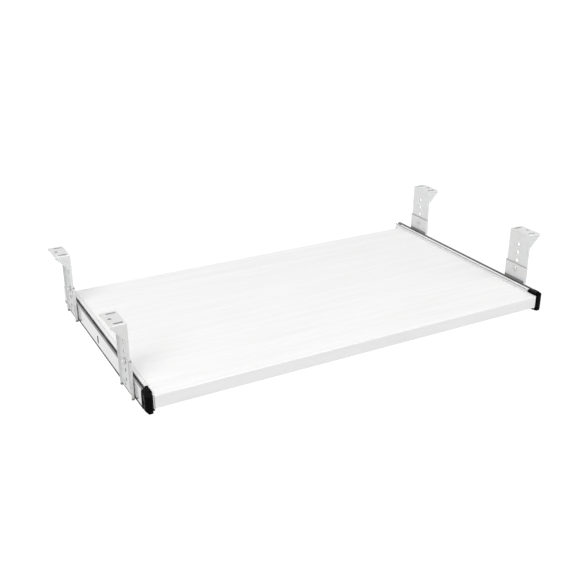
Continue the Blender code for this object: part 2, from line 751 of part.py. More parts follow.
def build_rivets(name, side, along, materials):
    head_height = 1.2 * MM
    shank_start = SLIDE_OUTER_FACE - RAIL_SHEET + GAP
    head_start = LOWER_FACE + LOWER_SHEET + GAP
    shank = head_start - shank_start
    profile = [
        (0, 0),
        (RIVET_RADIUS, 0),
        (RIVET_RADIUS, shank),
        (RIVET_HEAD_RADIUS, shank),
        (0.94 * RIVET_HEAD_RADIUS, shank + 0.5 * head_height),
        (0.6 * RIVET_HEAD_RADIUS, shank + 0.9 * head_height),
        (0, shank + head_height),
    ]
    for end, direction in (("front", -1), ("rear", 1)):
        shape = face_side(turned(profile, 12, "X"), side)
        place = side_place(
            side, shank_start, along + direction * RIVET_SPREAD, SLIDE_MIDDLE - RIVET_BELOW_MIDDLE
        )
        make_object(f"{name}_{end}_rivet", shape, place, materials["steel"], smooth=True)


# ---------------------------------------------------------------- the whole drawer


def build():
    clear_scene()
    materials = make_materials()
    carriage = make_empty("tray_carriage", (0, TRAY_FRONT, TRAY_TOP))
    screw_holes = screw_hole_cutter()
    build_tray(carriage, materials, screw_holes)
    for name, side in SIDES:
        lower_holes = lower_holes_cutter(name, side)
        build_tray_angle(name, side, carriage, materials, screw_holes)
        build_tray_screws(name, side, carriage, materials)
        build_outer_rail(name, side, materials, lower_holes)
        build_inner_rail(name, side, carriage, materials)
        build_ball_cage(name, side, materials)
        build_rear_buffer(name, side, materials)
        build_front_cap(name, side, carriage, materials)
        build_brackets(name, side, materials, lower_holes)


build()
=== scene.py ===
"""Looks of the under-desk drawer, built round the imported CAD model.

Metres, in the CAD frame: +X right, +Y back under the desk, +Z up, origin in the plane of
the desk's underside.  Pieces beside the tray are drawn once, in outward coordinates: x is
the distance outwards from the tray's side edge, and the left side is the mirror image.
"""

import math

import bmesh
import bpy
from mathutils import Matrix, Vector


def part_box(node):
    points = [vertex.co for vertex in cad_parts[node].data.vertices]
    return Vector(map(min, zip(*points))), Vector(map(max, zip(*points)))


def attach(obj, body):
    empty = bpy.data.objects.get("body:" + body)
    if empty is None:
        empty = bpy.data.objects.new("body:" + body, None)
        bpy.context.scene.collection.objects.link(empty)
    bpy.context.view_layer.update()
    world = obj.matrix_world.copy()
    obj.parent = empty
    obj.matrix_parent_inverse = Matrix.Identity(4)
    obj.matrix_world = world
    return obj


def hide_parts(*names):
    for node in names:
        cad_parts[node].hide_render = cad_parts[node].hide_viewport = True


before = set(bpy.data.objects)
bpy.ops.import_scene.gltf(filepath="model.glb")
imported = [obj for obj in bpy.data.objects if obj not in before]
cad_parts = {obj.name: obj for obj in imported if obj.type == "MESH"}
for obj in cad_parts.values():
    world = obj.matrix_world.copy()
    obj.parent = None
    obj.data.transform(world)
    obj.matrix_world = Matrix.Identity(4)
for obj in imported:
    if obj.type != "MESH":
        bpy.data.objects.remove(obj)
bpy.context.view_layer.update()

MM = 0.001
SIDES = (("left", -1), ("right", 1))
ROWS = ("front", "rear")

# Driving places, read from the frame
TRAY_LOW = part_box("tray_board")[0]
TRAY_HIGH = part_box("tray_board")[1]
TRAY_TOP = TRAY_HIGH.z
TRAY_BOTTOM = TRAY_LOW.z
TRAY_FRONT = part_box("tray_front_edge_band")[0].y
TRAY_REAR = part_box("tray_rear_edge_band")[1].y
HALF_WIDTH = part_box("tray_right_edge_band")[1].x
BAND = HALF_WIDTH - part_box("tray_right_edge_band")[0].x


def out_box(node):
    """A right-hand CAD node's box in outward coordinates."""
    low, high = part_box(node)
    return low - Vector((HALF_WIDTH, 0, 0)), high - Vector((HALF_WIDTH, 0, 0))


OUTER_LOW, OUTER_HIGH = out_box("right_outer_rail")
INNER_LOW, INNER_HIGH = out_box("right_inner_rail")
ANGLE_LOW, ANGLE_HIGH = out_box("right_tray_angle")
CAGE_LOW, CAGE_HIGH = out_box("right_ball_cage")
CAP_LOW, CAP_HIGH = out_box("right_front_cap")
BUFFER_LOW, BUFFER_HIGH = out_box("right_rear_buffer")
SLIDE_MIDDLE = (OUTER_LOW.z + OUTER_HIGH.z) / 2

# Sheet thicknesses, and the depth of a cutter that goes through one
RAIL_SHEET = 1.0 * MM
ANGLE_SHEET = 1.2 * MM
CAGE_SHEET = 0.4 * MM
BRACKET_SHEET = 1.0 * MM
TOP_PLATE_SHEET = 1.5 * MM
THROUGH = 6 * MM

# Camera and floor
CAMERA_AZIMUTH = -28.44
CAMERA_ELEVATION = 23.78
CAMERA_DISTANCE = 1.26
CAMERA_TARGET = Vector((-0.0263, -0.0188, -0.0666))
LENS = 52.95
SENSOR = 36.0
FLOOR_HEIGHT = -0.72
FLOOR_HALF_SIZE = 40.0


# ---------------------------------------------------------------- node helpers


class Nodes:
    """Short forms for building a node tree."""

    def __init__(self, tree):
        self.tree = tree

    def add(self, kind, inputs=None, **settings):
        node = self.tree.nodes.new(kind)
        for key, value in settings.items():
            setattr(node, key, value)
        for key, value in (inputs or {}).items():
            self.set(node.inputs[key], value)
        return node

    def set(self, socket, value):
        if isinstance(value, bpy.types.NodeSocket):
            self.tree.links.new(value, socket)
        else:
            socket.default_value = value

    def math(self, operation, first, second=0.0, third=0.0):
        node = self.add("ShaderNodeMath", operation=operation)
        for socket, value in zip(node.inputs, (first, second, third)):
            self.set(socket, value)
        return node.outputs[0]

    def plus(self, first, second):
        return self.math("ADD", first, second)

    def minus(self, first, second):
        return self.math("SUBTRACT", first, second)

    def times(self, first, second):
        return self.math("MULTIPLY", first, second)

    def larger(self, first, second):
        return self.math("MAXIMUM", first, second)

    def ramp(self, factor, low, high, start=0.0, end=1.0):
        """factor from low..high becomes start..end, smoothly."""
        node = self.add("ShaderNodeMapRange", interpolation_type="SMOOTHSTEP")
        for socket, value in zip(node.inputs, (factor, low, high, start, end)):
            self.set(socket, value)
        return node.outputs[0]

    def mix(self, factor, first, second):
        node = self.add("ShaderNodeMix", data_type="RGBA")
        self.set(node.inputs[0], factor)
        self.set(node.inputs[6], first)
        self.set(node.inputs[7], second)
        return node.outputs[2]

    def place(self, scale=(1.0, 1.0, 1.0)):
        """The point in the object's own coordinates, in millimetres, stretched by scale."""
        point = self.add("ShaderNodeTexCoord").outputs["Object"]
        size = [1000.0 * part for part in scale]
        mapping = self.add("ShaderNodeMapping", {"Vector": point, "Scale": size})
        return mapping.outputs[0]

    def out_and_up(self):
        """How far outwards from the tray's side, and how high, in millimetres."""
        parts = self.add("ShaderNodeSeparateXYZ", {"Vector": self.place()}).outputs
        across = self.math("ABSOLUTE", parts["X"])
        return self.minus(across, HALF_WIDTH / MM), parts["Z"]

    def noise(self, place, scale, detail=2.0, roughness=0.5):
        values = {"Vector": place, "Scale": scale, "Detail": detail, "Roughness": roughness}
        return self.add("ShaderNodeTexNoise", values).outputs["Fac"]

    def bump(self, height, depth, strength):
        """A surface normal from a height; depth is in millimetres."""
        values = {"Height": height, "Distance": depth * MM, "Strength": strength}
        return self.add("ShaderNodeBump", values).outputs[0]


def new_material(name):
    material = bpy.data.materials.new(name)
    material.use_nodes = True
    shader = material.node_tree.nodes["Principled BSDF"]
    return material, Nodes(material.node_tree), shader


def grey(level, warmth=0.0):
    """A colour near grey; a positive warmth leans to red, a negative one to blue."""
    return (level * (1 + warmth), level, level * (1 - warmth), 1.0)


# ---------------------------------------------------------------- materials


def melamine():
    """White foil pressed with a faint wood grain that runs along the tray."""
    material, nodes, shader = new_material("white_woodgrain_melamine")
    fibre = nodes.noise(nodes.place((0.012, 0.75, 0.75)), 1.0, 4.0, 0.62)
    figure = nodes.noise(nodes.place((0.005, 0.12, 0.12)), 1.0, 3.0, 0.55)
    pores = nodes.noise(nodes.place((0.035, 1.9, 1.9)), 1.0, 1.0, 0.5)
    pore_mask = nodes.ramp(pores, 0.60, 0.72)
    cloud = nodes.noise(nodes.place((0.006, 0.006, 0.006)), 1.0, 2.0, 0.5)
    streak = nodes.plus(nodes.times(fibre, 0.5), nodes.times(figure, 0.5))
    tone = nodes.mix(nodes.ramp(streak, 0.36, 0.66), grey(0.785, 0.003), grey(0.835, 0.001))
    tone = nodes.mix(nodes.times(pore_mask, 0.22), tone, grey(0.66, 0.01))
    tone = nodes.mix(nodes.ramp(cloud, 0.3, 0.7, 0.0, 0.25), tone, grey(0.83, -0.002))
    nodes.set(shader.inputs["Base Color"], tone)
    rough = nodes.ramp(fibre, 0.3, 0.7, 0.40, 0.52)
    rough = nodes.plus(rough, nodes.times(pore_mask, 0.12))
    nodes.set(shader.inputs["Roughness"], rough)
    height = nodes.minus(nodes.times(streak, 0.8), nodes.times(pore_mask, 0.5))
    nodes.set(shader.inputs["Normal"], nodes.bump(height, 0.06, 0.55))
    shader.inputs["Specular IOR Level"].default_value = 0.45
    return material


def edge_band():
    """Satin plastic strip, with the fine lines it was pulled with."""
    material, nodes, shader = new_material("white_edge_band")
    lines = nodes.noise(nodes.place((0.02, 0.02, 1.6)), 1.0, 3.0, 0.6)
    peel = nodes.noise(nodes.place(), 0.9, 2.0, 0.5)
    cloud = nodes.noise(nodes.place((0.01, 0.01, 0.05)), 1.0, 2.0, 0.5)
    tone = nodes.mix(nodes.ramp(cloud, 0.3, 0.7), grey(0.80, 0.001), grey(0.83, -0.001))
    nodes.set(shader.inputs["Base Color"], tone)
    nodes.set(shader.inputs["Roughness"], nodes.ramp(peel, 0.3, 0.7, 0.30, 0.40))
    height = nodes.plus(nodes.times(lines, 0.5), nodes.times(peel, 0.5))
    nodes.set(shader.inputs["Normal"], nodes.bump(height, 0.03, 0.5))
    return material


def board_core():
    """The pressed chipboard that shows only in drilled holes."""
    material, nodes, shader = new_material("chipboard_core")
    chips = nodes.noise(nodes.place(), 1.1, 3.0, 0.7)
    tone = nodes.mix(nodes.ramp(chips, 0.35, 0.65), (0.36, 0.24, 0.13, 1), (0.62, 0.46, 0.28, 1))
    nodes.set(shader.inputs["Base Color"], tone)
    nodes.set(shader.inputs["Normal"], nodes.bump(chips, 0.3, 0.8))
    shader.inputs["Roughness"].default_value = 0.9
    return material


def plated(
    name, level, roughness, warmth=0.0, lines=(1.6, 0.012, 1.6), cloudiness=0.05, relief=0.35,
    metallic=1.0,
):
    """Bright plated steel: rolling lines along the sheet, soft clouds and fine scratches."""
    material, nodes, shader = new_material(name)
    rolled = nodes.noise(nodes.place(lines), 1.0, 3.0, 0.6)
    cloud = nodes.noise(nodes.place((0.05, 0.03, 0.05)), 1.0, 3.0, 0.55)
    scratch = nodes.noise(nodes.place((0.9, 0.05, 2.4)), 1.0, 1.0, 0.5)
    scratches = nodes.ramp(scratch, 0.68, 0.74)
    dull = grey(level * (1 - cloudiness), warmth)
    tone = nodes.mix(nodes.ramp(cloud, 0.3, 0.7), dull, grey(level, -warmth))
    nodes.set(shader.inputs["Base Color"], tone)
    rough = nodes.ramp(rolled, 0.3, 0.7, roughness * 0.8, roughness * 1.25)
    rough = nodes.plus(rough, nodes.times(scratches, 0.10))
    nodes.set(shader.inputs["Roughness"], rough)
    height = nodes.minus(rolled, nodes.times(scratches, 0.5))
    nodes.set(shader.inputs["Normal"], nodes.bump(height, 0.008, relief))
    shader.inputs["Metallic"].default_value = metallic
    return material, nodes, shader, tone


def rail_zinc():
    """Zinc on the fixed rails, with painted shade inside the rail and on the lip, and a painted
    shadow line along the foot.
    """
    material, nodes, shader, tone = plated("bright_zinc_rail", 0.86, 0.17)
    out, up = nodes.out_and_up()
    from_middle = nodes.minus(up, SLIDE_MIDDLE / MM)
    half_height = (OUTER_HIGH.z - OUTER_LOW.z) / 2 / MM
    skin = 0.93
    # painted shadow line: the rail's bottom corner goes near black
    foot = nodes.ramp(from_middle, 5.0 - half_height, 4.7 - half_height)
    # painted shade on the inner bend of the upper lip
    lip_edge = nodes.times(nodes.ramp(out, 10.7, 8.4), nodes.ramp(out, 5.9, 6.3))
    on_top = nodes.ramp(from_middle, half_height - 1.2, half_height - 0.9)
    lip = nodes.times(lip_edge, on_top)
    # painted shade on the inner faces between the lips
    under_face = nodes.math("LESS_THAN", out, OUTER_HIGH.x / MM - skin)
    between_lips = nodes.math("LESS_THAN", nodes.math("ABSOLUTE", from_middle), half_height - skin)
    inside = nodes.times(under_face, between_lips)
    patch_noise = nodes.noise(nodes.place((0.02, 0.05, 0.5)), 1.0, 3.0, 0.6)
    patchy = nodes.ramp(patch_noise, 0.2, 0.6, 0.92, 1.0)
    # the painted shade, a little patchy, makes the zinc near black, unmetallic and less shiny
    rail_shade = nodes.times(nodes.larger(lip, inside), patchy)
    rail_shade = nodes.larger(rail_shade, foot)
    nodes.set(shader.inputs["Base Color"], nodes.mix(rail_shade, tone, grey(0.02, 0.01)))
    nodes.set(shader.inputs["Metallic"], nodes.minus(1.0, rail_shade))
    nodes.set(shader.inputs["Specular IOR Level"], nodes.math("MULTIPLY_ADD", rail_shade, -0.40, 0.5))
    return material


def angle_zinc():
    """Duller zinc on the strip beside the tray, with a painted shadow line along the upper edge of
    its face towards the board.
    """
    material, nodes, shader, tone = plated("dull_zinc_angle", 0.86, 0.40, metallic=0.25)
    out, up = nodes.out_and_up()
    tray_top = TRAY_TOP / MM
    # painted shadow line: the top of the face towards the board turns dark grey
    upper = nodes.ramp(up, tray_top + 2.8, tray_top + 3.2)
    inner_face = nodes.math("LESS_THAN", out, 0.6)
    top_shadow_line = nodes.times(nodes.times(upper, inner_face), 0.9)
    nodes.set(shader.inputs["Base Color"], nodes.mix(top_shadow_line, tone, grey(0.14, 0.01)))
    return material


def bracket_steel(name="bright_bracket_steel", shadow_line_height=None):
    """Bright plating on the brackets, with a speckle and painted shade on the inner face just above
    the rail.

    The height given last is the bracket's upper edge, under which a shadow line is painted; such a
    bracket also has a painted shadow line along its foot, in line with the rail's.
    """
    lines = (0.5, 0.5, 0.03)
    material, nodes, shader, tone = plated(name, 0.765, 0.38, 0.010, lines, 0.035, 0.15, 0.3)
    speckle = nodes.noise(nodes.place(), 2.2, 2.0, 0.6)
    speckled = nodes.mix(nodes.ramp(speckle, 0.55, 0.75, 0.0, 0.15), tone, grey(0.66, 0.02))
    out, up = nodes.out_and_up()
    # painted shade on the inner face, up to a few millimetres above the rail's top
    shade_top = OUTER_HIGH.z / MM + 2.6
    low = nodes.ramp(up, shade_top + 0.4, shade_top - 0.4)
    inner_face = nodes.math("LESS_THAN", out, OUTER_HIGH.x / MM + 0.4)
    bracket_shade = nodes.times(nodes.times(low, inner_face), 0.9)
    if shadow_line_height is not None:
        # painted shadow line along the upper edge
        top_shadow_line = nodes.ramp(up, shadow_line_height / MM - 0.9, shadow_line_height / MM - 0.5)
        bracket_shade = nodes.larger(bracket_shade, nodes.times(top_shadow_line, 0.75))
        # painted shadow line along the foot, in line with the rail's
        rail_foot = OUTER_LOW.z / MM + 2.0
        bracket_shade = nodes.larger(bracket_shade, nodes.ramp(up, rail_foot + 0.2, rail_foot - 0.2))
    nodes.set(shader.inputs["Base Color"], nodes.mix(bracket_shade, speckled, grey(0.24, 0.01)))
    return material


def cut_steel():
    """The unplated walls of punched holes and slots, duller than the plated faces."""
    return plated("punched_steel_edge", 0.50, 0.5, 0.01, (0.3, 0.3, 2.2), 0.15, metallic=0.2)[0]


def painted_hole_shade():
    """The walls of the rail's openings and the strip's rear hole, painted near black as shade
    inside the holes.
    """
    grain = (0.3, 0.3, 1.2)
    material, _, shader, _ = plated("hole_wall_painted_shade", 0.035, 0.6, 0.03, grain, 0.4, metallic=0.0)
    shader.inputs["Specular IOR Level"].default_value = 0.2
    return material


def fastener_steel():
    """Plated screws, bolts, nuts and rivets, a little cloudy."""
    return plated("fastener_steel", 0.80, 0.30, 0.01, (0.6, 0.6, 0.6), 0.10, metallic=0.5)[0]


def ball_steel():
    """Ground balls and the strip between them, under a film of dark lubricant."""
    grain = (0.4, 0.4, 0.4)
    material, nodes, shader, tone = plated("greased_bearing_steel", 0.34, 0.14, 0.0, grain, 0.2)
    film = nodes.noise(nodes.place((0.25, 0.12, 0.25)), 1.0, 3.0, 0.6)
    greased = nodes.mix(nodes.ramp(film, 0.45, 0.65, 0.0, 0.7), tone, (0.13, 0.11, 0.08, 1.0))
    nodes.set(shader.inputs["Base Color"], greased)
    shader.inputs["Coat Weight"].default_value = 0.35
    shader.inputs["Coat Roughness"].default_value = 0.15
    return material


def black_plastic():
    """Glossy moulded plastic with flow marks, fine dust and handling scuffs."""
    material, nodes, shader = new_material("black_moulded_plastic")
    flow = nodes.noise(nodes.place((0.12, 0.12, 0.35)), 1.0, 3.0, 0.55)
    dust = nodes.ramp(nodes.noise(nodes.place(), 3.0, 1.0, 0.5), 0.66, 0.76)
    scuff = nodes.ramp(nodes.noise(nodes.place((0.4, 2.5, 0.4)), 1.0, 2.0, 0.6), 0.62, 0.72)
    tone = nodes.mix(nodes.times(dust, 0.05), grey(0.0012, -0.03), grey(0.03))
    nodes.set(shader.inputs["Base Color"], tone)
    rough = nodes.ramp(flow, 0.3, 0.7, 0.26, 0.36)
    rough = nodes.plus(rough, nodes.times(scuff, 0.12))
    nodes.set(shader.inputs["Roughness"], rough)
    nodes.set(shader.inputs["Normal"], nodes.bump(flow, 0.03, 0.4))
    shader.inputs["Specular IOR Level"].default_value = 0.05
    return material


def floor_paint():
    """Matt white and lit from within, so that no shadow falls on it; what the object's
    metal reflects of it is a little dimmer, and brightens to the back and the right."""
    material, nodes, shader = new_material("pale_floor")
    uneven = nodes.noise(nodes.place((0.0008, 0.0008, 0.0008)), 1.0, 2.0, 0.5)
    nodes.set(shader.inputs["Base Color"], nodes.mix(uneven, grey(0.08), grey(0.10)))
    shader.inputs["Roughness"].default_value = 0.9
    shader.inputs["Specular IOR Level"].default_value = 0.1
    metres = nodes.place((0.001, 0.001, 0.001))
    parts = nodes.add("ShaderNodeSeparateXYZ", {"Vector": metres}).outputs
    dimmest = 0.6
    brightest = 0.95
    across = nodes.math("MULTIPLY_ADD", parts["X"], 0.06, 0.79)
    level = nodes.math("MULTIPLY_ADD", parts["Y"], 0.08, across)
    level = nodes.math("MINIMUM", nodes.larger(level, dimmest), brightest)
    seen = nodes.add("ShaderNodeLightPath").outputs["Is Camera Ray"]
    nodes.set(shader.inputs["Emission Strength"], nodes.larger(seen, level))
    shader.inputs["Emission Color"].default_value = grey(1.0)
    return material


# ---------------------------------------------------------------- shapes


def arc(centre, radius, start, end, steps):
    """Points on an arc, angles in degrees."""
    points = []
    for step in range(steps + 1):
        angle = math.radians(start + (end - start) * step / steps)
        points.append((centre[0] + radius * math.cos(angle), centre[1] + radius * math.sin(angle)))
    return points


def ribbon(centreline, sheet):
    """The closed outline of a bent strip of sheet, from the line along its middle."""
    points = [Vector(point) for point in centreline]
    left = []
    right = []
    for index, point in enumerate(points):
        before = (point - points[index - 1]).normalized() if index else None
        after = (points[index + 1] - point).normalized() if index + 1 < len(points) else None
        before = before or after
        after = after or before
        normal = Vector((-(before + after).y, (before + after).x)).normalized()
        reach = sheet / 2 / normal.dot(Vector((-after.y, after.x)))
        left.append(point + normal * reach)
        right.append(point - normal * reach)
    return left + right[::-1]


PLACES = {
    "X": lambda a, b, depth: (depth, a, b),
    "Y": lambda a, b, depth: (a, depth, b),
    "Z": lambda a, b, depth: (a, b, depth),
}


def prism(outline, low, high, axis, shape=None):
    """A closed outline drawn across axis and extruded from low to high along it."""
    shape = shape or bmesh.new()
    place = PLACES[axis]
    near = [shape.verts.new(place(a, b, low)) for a, b in outline]
    far = [shape.verts.new(place(a, b, high)) for a, b in outline]
    shape.faces.new(near)
    shape.faces.new(far)
    for index in range(len(outline)):
        behind = index - 1
        shape.faces.new((near[behind], near[index], far[index], far[behind]))
    return shape


def block(low, high, shape=None):
    outline = [(low[0], low[1]), (high[0], low[1]), (high[0], high[1]), (low[0], high[1])]
    return prism(outline, low[2], high[2], "Z", shape)


def rod(centre, radius, half_length, axis, segments=32, shape=None):
    shape = shape or bmesh.new()
    turn = {
        "X": Matrix.Rotation(math.pi / 2, 4, "Y"),
        "Y": Matrix.Rotation(math.pi / 2, 4, "X"),
        "Z": Matrix.Identity(4),
    }[axis]
    bmesh.ops.create_cone(
        shape, cap_ends=True, segments=segments, radius1=radius, radius2=radius,
        depth=2 * half_length, matrix=Matrix.Translation(centre) @ turn,
    )
    return shape


def stadium(centre, half_long, half_wide, half_deep, long_axis, through, shape=None):
    """A round-ended slot: long_axis lies in the plane across the through axis."""
    straight = half_long - half_wide
    outline = arc((straight, 0), half_wide, -90, 90, 12)
    outline += arc((-straight, 0), half_wide, 90, 270, 12)
    middle = {"X": (centre[1], centre[2]), "Z": (centre[0], centre[1])}[through]
    depth = {"X": centre[0], "Z": centre[2]}[through]
    across = {"X": "YZ", "Z": "XY"}[through]
    if long_axis == across[1]:
        outline = [(b, a) for a, b in outline]
    outline = [(middle[0] + a, middle[1] + b) for a, b in outline]
    return prism(outline, depth - half_deep, depth + half_deep, through, shape)


def turned(profile, segments=40, axis="Z", place=(0, 0, 0)):
    """A turned solid from (radius, height) points that begin and end on the axis."""
    shape = bmesh.new()
    rings = []
    for radius, height in profile:
        if radius == 0:
            rings.append([shape.verts.new((0, 0, height))])
            continue
        ring = []
        for step in range(segments):
            angle = 2 * math.pi * step / segments
            point = (radius * math.cos(angle), radius * math.sin(angle), height)
            ring.append(shape.verts.new(point))
        rings.append(ring)
    for lower, upper in zip(rings, rings[1:]):
        for step in range(segments):
            corners = [
                lower[step % len(lower)],
                lower[(step + 1) % len(lower)],
                upper[(step + 1) % len(upper)],
                upper[step % len(upper)],
            ]
            shape.faces.new(dict.fromkeys(corners))
    if axis == "X":
        bmesh.ops.rotate(shape, verts=shape.verts, matrix=Matrix.Rotation(math.pi / 2, 3, "Y"))
    bmesh.ops.translate(shape, verts=shape.verts, vec=place)
    return shape


def cross_recess(place, reach, half_width, depth, axis, facing):
    """A tapered cross for a screwdriver, sunk into a head that faces along an axis."""
    outline = []
    for quarter in range(4):
        turn = Matrix.Rotation(math.radians(90 * quarter), 2)
        for corner in ((half_width, -reach), (half_width, -half_width)):
            outline.append(turn @ Vector(corner))
    shape = bmesh.new()
    above = [shape.verts.new((p.x, p.y, 0.3 * depth)) for p in outline]
    below = [shape.verts.new((p.x * 0.45, p.y * 0.45, -depth)) for p in outline]
    shape.faces.new(above)
    shape.faces.new(below)
    for index in range(len(outline)):
        behind = index - 1
        shape.faces.new((above[behind], above[index], below[index], below[behind]))
    if facing < 0:
        bmesh.ops.rotate(shape, verts=shape.verts, matrix=Matrix.Rotation(math.pi, 3, "X"))
    if axis == "X":
        bmesh.ops.rotate(shape, verts=shape.verts, matrix=Matrix.Rotation(math.pi / 2, 3, "Y"))
    bmesh.ops.translate(shape, verts=shape.verts, vec=place)
    return shape


def cut_away(shape, point, normal):
    """Remove what lies beyond a plane and close the cut with a face."""
    cut = bmesh.ops.bisect_plane(
        shape,
        geom=shape.verts[:] + shape.edges[:] + shape.faces[:],
        plane_co=point,
        plane_no=Vector(normal).normalized(),
        clear_outer=True,
    )
    rim = [item for item in cut["geom_cut"] if isinstance(item, bmesh.types.BMEdge)]
    bmesh.ops.contextual_create(shape, geom=rim)


def threaded(radius, start, end, pitch, depth):
    """The (radius, height) points of a threaded shank, as rings."""
    points = []
    count = int((end - start) / pitch)
    for number in range(count):
        low = start + number * pitch
        points.append((radius - depth, low + 0.05 * pitch))
        points.append((radius, low + 0.5 * pitch))
    points.append((radius - depth, start + count * pitch))
    return points


def domed_head(radius, height, tip, fullness):
    """The (radius, height) points of a screw head that faces down its axis."""
    points = [(0, tip)]
    for angle in range(10, 90, 10):
        turn = math.radians(angle)
        up = tip + height - height * math.cos(turn) ** fullness
        points.append((radius * math.sin(turn), up))
    return points


def channel_flanges(flange, along, reach):
    """Two flanges with one outline: their corners, and the corners' numbers in each."""
    corners = []
    for direction in (-1, 1):
        corners += [(out, along + direction * reach, up) for out, up in flange]
    count = len(flange)
    return corners, list(range(count)), list(range(count, 2 * count))


def sheet_metal(corners, faces, bends, radius):
    """Thin plates that share edges, with those edges bent to a radius."""
    shape = bmesh.new()
    verts = [shape.verts.new(corner) for corner in corners]
    for face in faces:
        shape.faces.new([verts[index] for index in face])
    bmesh.ops.recalc_face_normals(shape, faces=shape.faces)
    folded = [shape.edges.get((verts[a], verts[b])) for a, b in bends]
    bmesh.ops.bevel(
        shape, geom=folded, offset=radius, segments=5, affect="EDGES", profile=0.5,
        clamp_overlap=True,
    )
    return shape


# ---------------------------------------------------------------- making a piece


def plain_object(name, shape):
    bmesh.ops.recalc_face_normals(shape, faces=shape.faces)
    mesh = bpy.data.meshes.new(name)
    shape.to_mesh(mesh)
    shape.free()
    obj = bpy.data.objects.new(name, mesh)
    bpy.context.scene.collection.objects.link(obj)
    return obj


def to_side(shape, side):
    """From outward coordinates to the frame, on the side asked for."""
    bmesh.ops.translate(shape, verts=shape.verts, vec=(HALF_WIDTH, 0, 0))
    if side < 0:
        bmesh.ops.scale(shape, vec=(-1, 1, 1), verts=shape.verts)
        bmesh.ops.reverse_faces(shape, faces=shape.faces)
    return shape


def add_modifier(obj, kind, **settings):
    modifier = obj.modifiers.new(kind.lower(), kind)
    for key, value in settings.items():
        setattr(modifier, key, value)
    return modifier


def settle(obj):
    """Apply the modifiers, so that the final mesh is the piece's own."""
    graph = bpy.context.evaluated_depsgraph_get()
    final = bpy.data.meshes.new_from_object(obj.evaluated_get(graph), depsgraph=graph)
    old = obj.data
    obj.modifiers.clear()
    obj.data = final
    final.name = obj.name
    bpy.data.meshes.remove(old)


def make_piece(
    name, shape, side, material, body, nodes,
    joins=(), cuts=(), edge=None, edge_segments=2, first_edge=None, thickness=None,
):
    """Build one piece: thicken, join, cut, soften its edges, then ride and stand for nodes.

    side is 0 for shapes that are in the frame already.  A cut may come with the material
    of the walls that it leaves.  first_edge is a rounding made before the cuts, and edge
    one made after them.
    """

    def placed(drawn):
        return to_side(drawn, side) if side else drawn

    obj = plain_object(name, placed(shape))
    obj.data.materials.append(material)
    if thickness:
        add_modifier(obj, "SOLIDIFY", thickness=thickness, offset=0.0, use_even_offset=True)
    if first_edge:
        width, segments = first_edge
        add_modifier(
            obj, "BEVEL", width=width, segments=segments, limit_method="ANGLE",
            angle_limit=math.radians(40),
        )
    helpers = []
    for operation, drawings in (("UNION", joins), ("DIFFERENCE", cuts)):
        for drawing in drawings:
            drawing, walls = drawing if isinstance(drawing, tuple) else (drawing, material)
            helper = plain_object(name + "_" + operation.lower(), placed(drawing))
            helper.data.materials.append(walls)
            add_modifier(
                obj, "BOOLEAN", operation=operation, solver="EXACT",
                material_mode="TRANSFER", object=helper,
            )
            helpers.append(helper)
    if edge:
        add_modifier(
            obj, "BEVEL", width=edge, segments=edge_segments, limit_method="ANGLE",
            angle_limit=math.radians(32), miter_outer="MITER_ARC", use_clamp_overlap=True,
        )
    settle(obj)
    for helper in helpers:
        bpy.data.objects.remove(helper)
    finish_mesh(obj)
    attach(obj, body)
    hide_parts(*nodes)


def finish_mesh(obj):
    """Smooth shading that keeps flat faces flat."""
    mesh = obj.data
    mesh.shade_smooth()
    mesh.set_sharp_from_angle(angle=math.radians(42))
    add_modifier(obj, "WEIGHTED_NORMAL", keep_sharp=True, weight=80)
    settle(obj)


# ---------------------------------------------------------------- the tray


def build_tray(looks):
    half_x = HALF_WIDTH - BAND
    half_way_up = (TRAY_TOP + TRAY_BOTTOM) / 2
    hairline = 0.05 * MM
    low = Vector((-half_x, TRAY_FRONT + BAND, TRAY_BOTTOM))
    high = Vector((half_x, TRAY_REAR - BAND, TRAY_TOP))
    holes = bmesh.new()
    pilot_radius = 1.9 * MM
    pilot_depth = 11 * MM
    for node in tray_screw_nodes():
        middle = (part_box(node)[0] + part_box(node)[1]) / 2
        rod((middle.x, middle.y, TRAY_BOTTOM), pilot_radius, pilot_depth, "Z", 20, holes)
    make_piece(
        "tray_panel", block(low, high), 0, looks["melamine"], "tray",
        ["tray_board"], cuts=[(holes, looks["core"])], edge=hairline, edge_segments=1,
    )

    rounding = 0.8 * MM
    for name, direction, along in (("front", -1, TRAY_FRONT), ("rear", 1, TRAY_REAR)):
        near = (-HALF_WIDTH, min(along, along - direction * BAND), TRAY_BOTTOM)
        far = (HALF_WIDTH, max(along, along - direction * BAND), TRAY_TOP)
        shape = block(near, far)
        soften(shape, lambda co: abs(co.y - along) < hairline, rounding)
        make_piece(
            f"{name}_band", shape, 0, looks["band"], "tray",
            [f"tray_{name}_edge_band"],
        )
    for name, side in SIDES:
        outer = side * HALF_WIDTH
        inner = side * half_x
        near = (min(outer, inner), TRAY_FRONT + BAND, TRAY_BOTTOM)
        far = (max(outer, inner), TRAY_REAR - BAND, TRAY_TOP)
        shape = block(near, far)

        def outer_long_edge(co):
            return abs(co.x - outer) < hairline and abs(co.z - half_way_up) > MM

        soften(shape, outer_long_edge, rounding)
        make_piece(
            f"{name}_band", shape, 0, looks["band"], "tray",
            [f"tray_{name}_edge_band"],
        )


def soften(shape, wanted, radius):
    """Round the edges whose middles are wanted."""
    edges = [edge for edge in shape.edges if wanted((edge.verts[0].co + edge.verts[1].co) / 2)]
    bmesh.ops.bevel(shape, geom=edges, offset=radius, segments=6, affect="EDGES", profile=0.5)


def tray_screw_nodes():
    return sorted(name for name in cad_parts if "_tray_screw_" in name)


def screw_places(side):
    """Where this side's tray screws stand, in outward coordinates."""
    places = []
    for node in tray_screw_nodes():
        low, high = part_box(node)
        middle = (low + high) / 2
        if middle.x * side > 0:
            places.append((node, abs(middle.x) - HALF_WIDTH, middle.y, low.z))
    return places


